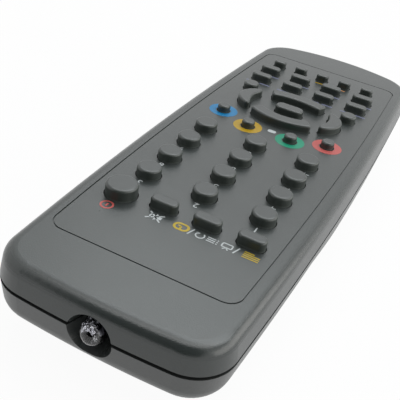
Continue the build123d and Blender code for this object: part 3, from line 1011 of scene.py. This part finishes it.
def lathe(profile: Sequence[Point], centre: Vector, count: int = 40) -> bmesh.types.BMesh:
    """Turn a profile about a line along the part's length.

    Args:
        profile: pairs of radius and place along the line, in millimetres. It starts and ends on
            the line, where the radius is 0.
        centre: where the line starts, in millimetres.
        count: the number of steps round.

    Returns:
        The closed mesh.
    """
    shape = bmesh.new()
    rings = []
    for radius, along in profile:
        steps = 1 if radius == 0 else count
        ring = []
        for index in range(steps):
            turn = 2 * math.pi * index / count
            place = centre + Vector((radius * math.cos(turn), along, radius * math.sin(turn)))
            ring.append(shape.verts.new(place * MM))
        rings.append(ring)
    for one, two in zip(rings, rings[1:]):
        for index in range(count):
            after = (index + 1) % count
            first = [one[index % len(one)], one[after % len(one)]]
            second = [two[after % len(two)], two[index % len(two)]]
            shape.faces.new(list(dict.fromkeys(first + second)))
    return shape


def bevelled_block(low: Vector, high: Vector, bevel: float) -> bmesh.types.BMesh:
    """A block with eased edges, in millimetres."""
    shape = bmesh.new()
    bmesh.ops.create_cube(shape, size=1.0)
    size, middle = (high - low) * MM, (high + low) / 2 * MM
    for vertex in shape.verts:
        vertex.co = Vector(a * b for a, b in zip(vertex.co, size)) + middle
    bmesh.ops.bevel(shape, geom=shape.edges[:], offset=bevel * MM, segments=2, affect="EDGES")
    return shape


@dataclass
class Emitter:
    """The clear diode in the front wall, and the metal frame that is cast inside it."""

    cup_radius: float = 1.0
    cup_inner: float = 0.8
    cup_floor_radius: float = 0.45
    cup_depth: float = 0.9
    cup_from_tip: float = 3.2
    neck_radius: float = 0.7
    neck_length: float = 0.6
    stem_half: float = 0.45
    stem_overlap: float = 0.05
    flag_span: tuple[float, float] = (1.05, 1.75)
    flag_below_rim: float = 0.9
    post_half: float = 0.25
    post_bevel: float = 0.06
    back_margin: float = 0.3
    dome_radius: float = 2.5
    foil_margin: float = 0.3
    foil_turns: tuple[float, float] = (15.0, 130.0)
    foil_from_tip: tuple[float, float] = (0.8, 5.6)
    foil_thickness: float = 0.08
    foil_steps: tuple[int, int] = (36, 36)
    crease_scale: float = 2.2
    crease_mm: float = 0.5
    die_half: float = 0.2
    die_rise: float = 0.35
    die_bevel: float = 0.04
    wire_radius: float = 0.06
    wire_on_die: float = 0.3
    wire_arch: float = 1.0
    wire_steps: int = 12
    wire_sides: int = 6

    def axis(self) -> Vector:
        """The middle of the diode's tip, in millimetres."""
        low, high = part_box("emitter_led")
        return Vector(((low.x + high.x) / 2, high.y, (low.z + high.z) / 2)) / MM

    def build(self) -> None:
        """Dress the diode and build the frame inside it."""
        tip = self.axis()
        dress(ClearResin("clear_resin", tip.y).build(), "emitter_led")
        even = (1.0, 1.0, 1.0)
        foil = Metal("crumpled_foil", (0.7, 0.7, 0.74), 0.14, 0.55, even, 0.25)
        self.add("emitter_foil", self.foil(tip), foil.build())
        # The frame's metal is painted dark, as shade inside the diode.
        material = Metal("painted_shade_frame", (0.2, 0.2, 0.22), 0.3, 0.45, even, 0.08).build()
        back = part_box("emitter_led")[0].y / MM + self.back_margin - tip.y
        rim = -self.cup_from_tip
        floor = rim - self.cup_depth
        self.add("emitter_cup", self.cup(tip, floor, rim), material)
        stem_top = floor - self.neck_length + self.stem_overlap
        stem = self.post(tip, (-self.stem_half, self.stem_half), (back, stem_top))
        self.add("emitter_stem", stem, material)
        flag = self.post(tip, self.flag_span, (back, rim - self.flag_below_rim))
        self.add("emitter_flag", flag, material)
        die_low = tip + Vector((-self.die_half, floor, -self.die_half))
        die_high = tip + Vector((self.die_half, floor + self.die_rise, self.die_half))
        die = Resin("emitter_die", srgb(60, 48, 70), 0.2).build()
        self.add("emitter_chip", bevelled_block(die_low, die_high, self.die_bevel), die)
        self.add("emitter_wire", self.bond_wire(tip, floor, rim), material)

    def cup(self, tip: Vector, floor: float, rim: float) -> bmesh.types.BMesh:
        """The reflector cup and the neck behind it, turned about the diode's axis.

        Args:
            tip: the middle of the diode's tip.
            floor: the cup's floor, along the axis from the tip.
            rim: the cup's rim, along the axis from the tip.

        Returns:
            The cup's mesh.
        """
        neck = floor - self.neck_length
        profile = [
            (0, floor),
            (self.cup_floor_radius, floor),
            (self.cup_inner, rim),
            (self.cup_radius, rim),
            (self.cup_radius, floor),
            (self.neck_radius, neck),
            (0, neck),
        ]
        return lathe(profile, tip)

    def post(self, tip: Vector, across: Point, along: Point) -> bmesh.types.BMesh:
        """A flat metal post inside the diode.

        Args:
            tip: the middle of the diode's tip.
            across: where it begins and ends across the diode.
            along: where it begins and ends along the diode.

        Returns:
            The post's mesh.
        """
        low = tip + Vector((across[0], along[0], -self.post_half))
        high = tip + Vector((across[1], along[1], self.post_half))
        return bevelled_block(low, high, self.post_bevel)

    def add(self, name: str, shape: bmesh.types.BMesh, material: bpy.types.Material) -> None:
        """Add a piece of the diode's inside."""
        piece = add_piece(name, shape, material, smooth=True)

    def foil(self, tip: Vector) -> bmesh.types.BMesh:
        """The crumpled foil reflector that lies round one upper flank of the frame.

        Args:
            tip: the middle of the diode's tip.

        Returns:
            The foil's mesh.
        """
        shape = bmesh.new()
        across, along = self.foil_steps
        near, far = self.foil_from_tip
        low, high = self.foil_turns
        sheets = []
        for sheet in range(2):
            rows = []
            for step in range(along + 1):
                back = near + (far - near) * step / along
                inward = max(self.dome_radius - back, 0)
                room = math.sqrt(self.dome_radius ** 2 - inward ** 2) - self.foil_margin
                row = []
                for index in range(across + 1):
                    turn = math.radians(low + (high - low) * index / across)
                    around = Vector((math.cos(turn), 0, math.sin(turn)))
                    flat = around * room - Vector((0, back, 0))
                    crease = 0.5 + 0.5 * noise.noise(flat * self.crease_scale)
                    radius = room - crease * self.crease_mm - sheet * self.foil_thickness
                    place = tip + Vector((0, -back, 0)) + around * radius
                    row.append(shape.verts.new(place * MM))
                rows.append(row)
            sheets.append(rows)
            for one, two in zip(rows, rows[1:]):
                for index in range(across):
                    shape.faces.new((one[index], one[index + 1], two[index + 1], two[index]))
        outer, inner = sheets
        for row in (0, -1):
            for index in range(across):
                after = index + 1
                outside, inside = outer[row], inner[row]
                shape.faces.new((outside[index], outside[after], inside[after], inside[index]))
        for index in (0, -1):
            for row in range(along):
                after = row + 1
                outside, inside = outer[row][index], inner[row][index]
                shape.faces.new((outside, outer[after][index], inner[after][index], inside))
        return shape

    def bond_wire(self, tip: Vector, floor: float, rim: float) -> bmesh.types.BMesh:
        """The hair-thin wire that arches from the die to the other leg.

        Args:
            tip: the middle of the diode's tip.
            floor: the cup's floor, along the axis from the tip.
            rim: the cup's rim, along the axis from the tip.

        Returns:
            The wire's mesh.
        """
        shape = bmesh.new()
        start = Vector((0, floor + self.wire_on_die, 0))
        end = Vector((sum(self.flag_span) / 2, rim - self.flag_below_rim, 0))
        rings = []
        sides = self.wire_sides
        for step in range(self.wire_steps + 1):
            share = step / self.wire_steps
            lift = self.wire_arch * math.sin(math.pi * share)
            middle = start.lerp(end, share) + Vector((0, lift, 0))
            ring = []
            for index in range(sides):
                turn = 2 * math.pi * index / sides
                round_it = Vector((math.cos(turn), 0, math.sin(turn))) * self.wire_radius
                ring.append(shape.verts.new((tip + middle + round_it) * MM))
            rings.append(ring)
        for one, two in zip(rings, rings[1:]):
            for index in range(sides):
                after = (index + 1) % sides
                shape.faces.new((one[index], one[after], two[after], two[index]))
        shape.faces.new(rings[0][::-1])
        shape.faces.new(rings[-1])
        return shape


@dataclass
class Electronics:
    """The circuit board and what is soldered to it."""

    leg_reach: float = 1.2
    leg_clear: float = 0.02

    def dress(self) -> None:
        """Give each component its finish."""
        dress(Laminate().build(), "circuit_board")
        tin = Metal("tinned_wire", (0.66, 0.66, 0.64), 0.3)
        dress(tin.build(), "emitter_leads")
        low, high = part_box("controller_chip")
        middle = (low.y + high.y) / 2 / MM
        half = (high.y - low.y) / 2 / MM - self.leg_reach
        chip = Resin("chip_resin", srgb(34, 34, 36), 0.45, (middle, half + self.leg_clear))
        dress(chip.build(), "controller_chip")
        dress(Resin("transistor_resin", srgb(26, 26, 28), 0.35).build(), "drive_transistor")
        dress(Resin("resonator_resin", srgb(196, 118, 40), 0.3).build(), "resonator")
        dress(Resin("capacitor_sleeve", srgb(32, 44, 96), 0.28).build(), "capacitor")
        dress(Resin("resistor_resin", srgb(40, 42, 44), 0.3).build(), "resistors")


@dataclass
class BatteryBay:
    """The two cells and the metal that touches them."""

    nub: float = 0.8
    cap: float = 0.7
    collar: float = 9.0

    def dress(self) -> None:
        """Give the cells and contacts their finish."""
        for name in ("battery_left", "battery_right"):
            low, high = (corner.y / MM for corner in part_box(name))
            if name == "battery_left":
                plus, away = high - self.nub - self.cap, -1
            else:
                plus, away = low + self.nub + self.cap, 1
            jacket = sorted((plus, (low if away < 0 else high) - away * self.cap))
            collar = sorted((plus, plus + away * self.collar))
            cell = CellJacket(name + "_jacket", tuple(jacket), tuple(collar))
            dress(cell.build(), name)
        nickel = Metal("nickel_contact", (0.7, 0.68, 0.62), 0.25)
        dress(nickel.build(), "positive_contact", "negative_contact", "bridge_contact")
        spring = Metal("spring_wire", (0.68, 0.67, 0.63), 0.22, 0.2, (1.0, 1.0, 1.0))
        dress(spring.build(), "contact_springs")
        dress(Metal("screw_steel", (0.4, 0.4, 0.41), 0.35).build(), "case_screws")


@dataclass(frozen=True)
class Softbox:
    """A rectangular lamp that points at the part. A radiance of 1 is a face as bright as white."""

    name: str
    place: Triple
    size: Point
    radiance: float
    tint: Colour = (1.0, 1.0, 1.0)

    def build(self) -> None:
        """Hang the lamp."""
        data = bpy.data.lights.new(self.name, "AREA")
        data.shape = "RECTANGLE"
        data.size, data.size_y = self.size
        data.energy = self.radiance * math.pi * self.size[0] * self.size[1]
        data.color = self.tint
        lamp = bpy.data.objects.new(self.name, data)
        lamp.location = self.place
        lamp.rotation_mode = "QUATERNION"
        lamp.rotation_quaternion = (-Vector(self.place)).to_track_quat("-Z", "Y")
        bpy.context.scene.collection.objects.link(lamp)


@dataclass
class Studio:
    """The floor, the light and the camera. All places are in metres."""

    camera_place: Triple = (-0.041743, 0.150902, 0.097102)
    camera_target: Triple = (0.000547, 0.034918, 0.020)
    camera_roll: float = 0.1925
    camera_clip: Point = (0.01, 20.0)
    focal_pixels: float = 655.3
    optical_centre: Point = (204.44, 193.75)
    image_pixels: int = 400
    sensor_mm: float = 36.0
    floor_half: float = 3.0
    floor_gap: float = 0.0001
    floor_tones: tuple[Colour, Colour] = ((0.8, 0.8, 0.8), (0.84, 0.84, 0.84))
    floor_mottle_mm: float = 60.0
    shadow_share: float = 0.05
    ambient: float = 0.32
    opening_towards: Triple = (-0.14, 0.84, 0.53)
    opening_turns: tuple[float, float] = (46.0, 33.0)
    opening_share: float = 0.03
    softboxes: tuple[Softbox, ...] = (
        Softbox("back_softbox", (-0.11, -0.60, 1.15), (1.7, 0.8), 2.7, (0.95, 1.0, 1.02)),
        Softbox("top_softbox", (-0.05, 0.12, 1.30), (1.4, 0.7), 1.6),
        Softbox("side_softbox", (-1.05, -0.25, 0.25), (1.5, 0.8), 1.7, (1.0, 0.98, 0.94)),
    )

    def camera(self) -> None:
        """The camera at the photograph's place, roll and lens."""
        data = bpy.data.cameras.new("camera")
        data.sensor_width = self.sensor_mm
        data.lens = self.focal_pixels * self.sensor_mm / self.image_pixels
        half = self.image_pixels / 2
        data.shift_x = (half - self.optical_centre[0]) / self.image_pixels
        data.shift_y = (self.optical_centre[1] - half) / self.image_pixels
        data.clip_start, data.clip_end = self.camera_clip
        forward = (Vector(self.camera_target) - Vector(self.camera_place)).normalized()
        level_right = forward.cross(Vector((0, 0, 1))).normalized()
        level_up = level_right.cross(forward)
        turn_cos, turn_sin = math.cos(self.camera_roll), math.sin(self.camera_roll)
        right = level_right * turn_cos + level_up * turn_sin
        up = level_up * turn_cos - level_right * turn_sin
        turned = Matrix((right, up, -forward)).transposed().to_4x4()
        holder = bpy.data.objects.new("camera", data)
        holder.matrix_world = Matrix.Translation(self.camera_place) @ turned
        bpy.context.scene.collection.objects.link(holder)
        bpy.context.scene.camera = holder

    def seen_directly(self, graph: Graph) -> Term:
        """Light Path's camera, glossy and transmission rays as one mask."""
        path = graph.node("ShaderNodeLightPath")
        mask = Term(graph, path.outputs["Is Camera Ray"])
        for name in ("Is Glossy Ray", "Is Transmission Ray"):
            mask = graph.maths("MAXIMUM", mask, Term(graph, path.outputs[name]))
        return mask

    def world(self) -> None:
        """White where it is looked at, and a dim even light elsewhere."""
        world = bpy.data.worlds.new("studio")
        bpy.context.scene.world = world
        graph = Graph(world)
        ambient = graph.node("ShaderNodeBackground", inputs={"Strength": self.ambient})
        white = graph.node(
            "ShaderNodeBackground",
            inputs={"Color": (1.0, 1.0, 1.0), "Strength": self.tent(graph)},
        )
        shown = graph.node(
            "ShaderNodeMixShader",
            inputs={0: self.seen_directly(graph), 1: ambient.outputs[0], 2: white.outputs[0]},
        )
        graph.node("ShaderNodeOutputWorld", inputs={"Surface": shown.outputs[0]})

    def tent(self, graph: Graph) -> Term:
        """White to the camera, and in reflections white with a dark opening above the camera."""
        toward = graph.node("ShaderNodeTexCoord").outputs["Generated"]
        near = graph.node(
            "ShaderNodeVectorMath",
            {"operation": "DOT_PRODUCT"},
            {0: toward, 1: Vector(self.opening_towards).normalized()},
        )
        outer, inner = (math.cos(math.radians(turn)) for turn in self.opening_turns)
        opening = Term(graph, near.outputs["Value"]).ramp(outer, inner)
        camera = Term(graph, graph.node("ShaderNodeLightPath").outputs["Is Camera Ray"])
        return graph.maths("MAXIMUM", 1.0 - opening * (1.0 - self.opening_share), camera)

    def floor(self) -> None:
        """A pale floor that reads as white and keeps a faint shadow."""
        graph = Skin("studio_floor")
        paint = graph.speckle(self.floor_mottle_mm) * 0.02 + 0.4
        tone = graph.blend(*self.floor_tones, paint)
        matt = graph.node("ShaderNodeBsdfDiffuse", inputs={"Color": tone})
        glow = graph.node("ShaderNodeEmission", inputs={"Color": (1.0, 1.0, 1.0), "Strength": 1.0})
        kept = graph.node(
            "ShaderNodeMixShader",
            inputs={0: self.shadow_share, 1: glow.outputs[0], 2: matt.outputs[0]},
        )
        seen = self.seen_directly(graph)
        shown = graph.node(
            "ShaderNodeMixShader", inputs={0: seen, 1: matt.outputs[0], 2: kept.outputs[0]}
        )
        graph.feed(graph.output, {"Surface": shown.outputs[0]})
        shape = bmesh.new()
        half = self.floor_half
        around = [(-half, -half), (half, -half), (half, half), (-half, half)]
        shape.faces.new([shape.verts.new((x, y, -self.floor_gap)) for x, y in around])
        mesh = bpy.data.meshes.new("floor")
        shape.to_mesh(mesh)
        shape.free()
        mesh.materials.append(graph.material)
        floor = bpy.data.objects.new("floor", mesh)
        bpy.context.scene.collection.objects.link(floor)

    def build(self) -> None:
        """Set up the studio."""
        bpy.context.scene.view_settings.view_transform = "Standard"
        self.camera()
        self.world()
        self.floor()
        for softbox in self.softboxes:
            softbox.build()


def main() -> None:
    """Dress the part and set up the studio."""
    logging.basicConfig(level=logging.INFO, format="%(message)s")
    Studio().build()
    Housing().dress()
    Keypad().dress()
    FacePrint().build()
    Emitter().build()
    Electronics().dress()
    BatteryBay().dress()


if __name__ == "__main__":
    main()
